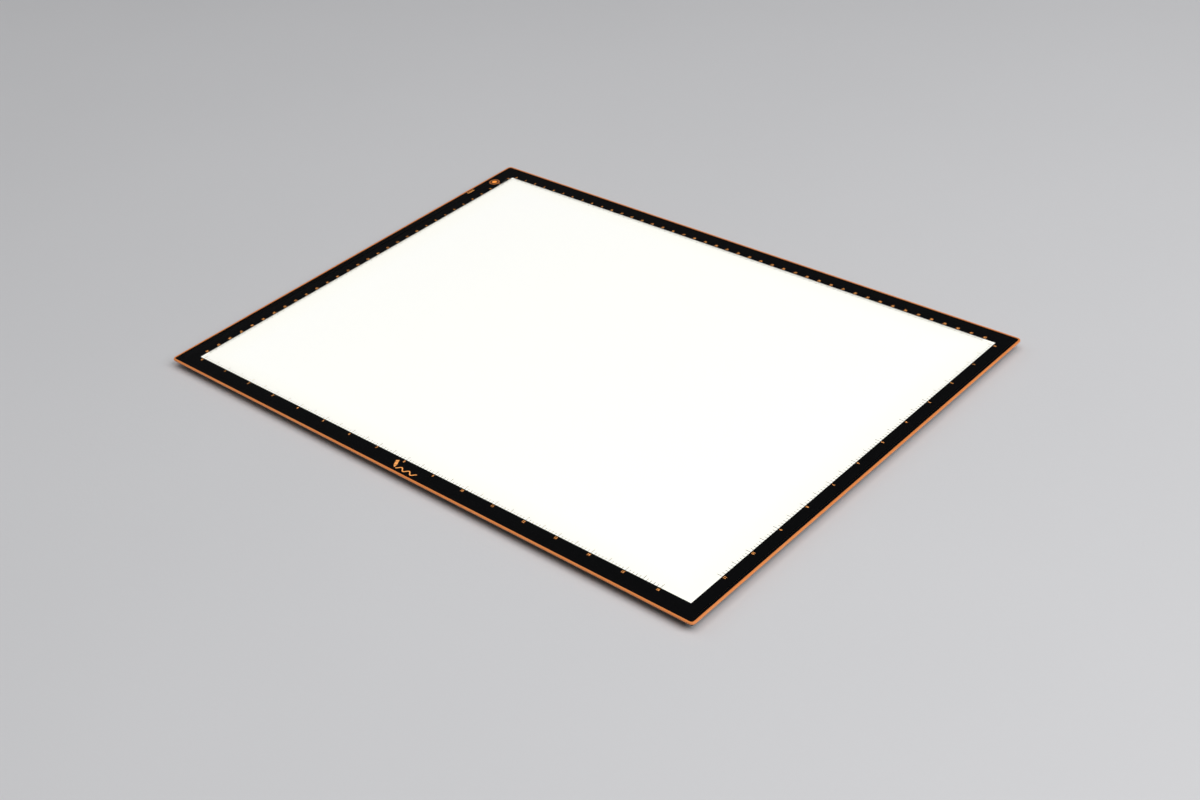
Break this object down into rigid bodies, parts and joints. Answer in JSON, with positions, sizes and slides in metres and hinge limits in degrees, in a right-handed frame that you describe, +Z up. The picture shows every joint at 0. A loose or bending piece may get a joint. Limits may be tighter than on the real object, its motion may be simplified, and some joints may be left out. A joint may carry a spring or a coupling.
{
  "type": "light box",
  "caption": "Thin tracing light box: edge-lit white drawing window in a black border with ruler scales, orange rim and a round push key.",
  "frame": {"origin": "middle of the footprint, on the plane that the rubber feet stand on", "axes": "+X to the right along the long side, as seen by the person who draws; +Y away from that person; +Z up out of the drawing surface"},
  "size_m": [0.4584, 0.3362, 0.0068],
  "materials": {
    "orange_plastic": "satin moulded orange ABS",
    "black_plastic": "fine grained black ABS",
    "clear_film": "clear hard-coated film",
    "black_ink": "solid black print on the underside of the cover sheet",
    "opal_acrylic": "opal acrylic, lit from below",
    "clear_acrylic": "clear acrylic with printed dots below",
    "white_film": "white polyester film",
    "bare_aluminium": "extruded, uncoated",
    "thermal_tape": "soft adhesive tape",
    "white_board": "white solder mask on glass epoxy",
    "lamp_body": "moulded lamp housing",
    "lamp_face": "silicone with yellow phosphor",
    "green_board": "green solder mask on glass epoxy",
    "chip_body": "moulded epoxy",
    "tinned_metal": "tin plated",
    "ferrite": "sintered ferrite",
    "capacitor_body": "fired ceramic",
    "white_nylon": "natural nylon",
    "spring_steel": "nickel plated spring steel",
    "gold_contact": "gold flashed",
    "red_wire": "PVC insulation",
    "black_wire": "PVC insulation",
    "amber_tape": "polyimide tape",
    "screw_steel": "zinc plated",
    "foot_rubber": "soft matt rubber",
    "blank_label": "blank silver label"
  },
  "bodies": {
    "pad": {"edge_frame": "orange_plastic", "back_cover": "black_plastic", "cover_sheet": "clear_film", "border_print": "black_ink", "opal_plate": "opal_acrylic", "light_guide": "clear_acrylic", "reflector_sheet": "white_film", "edge_reflector_left": "white_film", "edge_reflector_right": "white_film", "lamp_rail_front": "bare_aluminium", "lamp_rail_back": "bare_aluminium", "rail_tape_front": "thermal_tape", "rail_tape_back": "thermal_tape", "lamp_board_front": "white_board", "lamp_board_back": "white_board", "lamps_front": "lamp_body", "lamps_back": "lamp_body", "lamp_faces_front": "lamp_face", "lamp_faces_back": "lamp_face", "control_strip": "black_plastic", "control_board": "green_board", "board_tape": "thermal_tape", "control_chip": "chip_body", "driver_chip": "chip_body", "chip_pins": "tinned_metal", "power_transistor": "chip_body", "inductor": "ferrite", "capacitors": "capacitor_body", "resistors": "chip_body", "lead_connector": "white_nylon", "switch_base": "chip_body", "switch_terminals": "tinned_metal", "snap_dome": "spring_steel", "key_ring": "orange_plastic", "socket_shell": "spring_steel", "socket_tongue": "chip_body", "socket_contacts": "gold_contact", "lead_front_red": "red_wire", "lead_front_black": "black_wire", "lead_back_red": "red_wire", "lead_back_black": "black_wire", "wire_tapes": "amber_tape", "cover_screws": "screw_steel", "feet": "foot_rubber", "rating_label": "blank_label"},
    "key": {"key_cap": "black_plastic", "key_inlay": "orange_plastic", "switch_plunger": "white_nylon"}
  },
  "joints": [
    {"name": "key_press", "type": "slide", "parent": "pad", "child": "key", "axis": [0, 0, -1], "range_m": [0, 0.00025], "stiffness_N_per_m": 3000, "deforming": ["snap_dome"]}
  ]
}
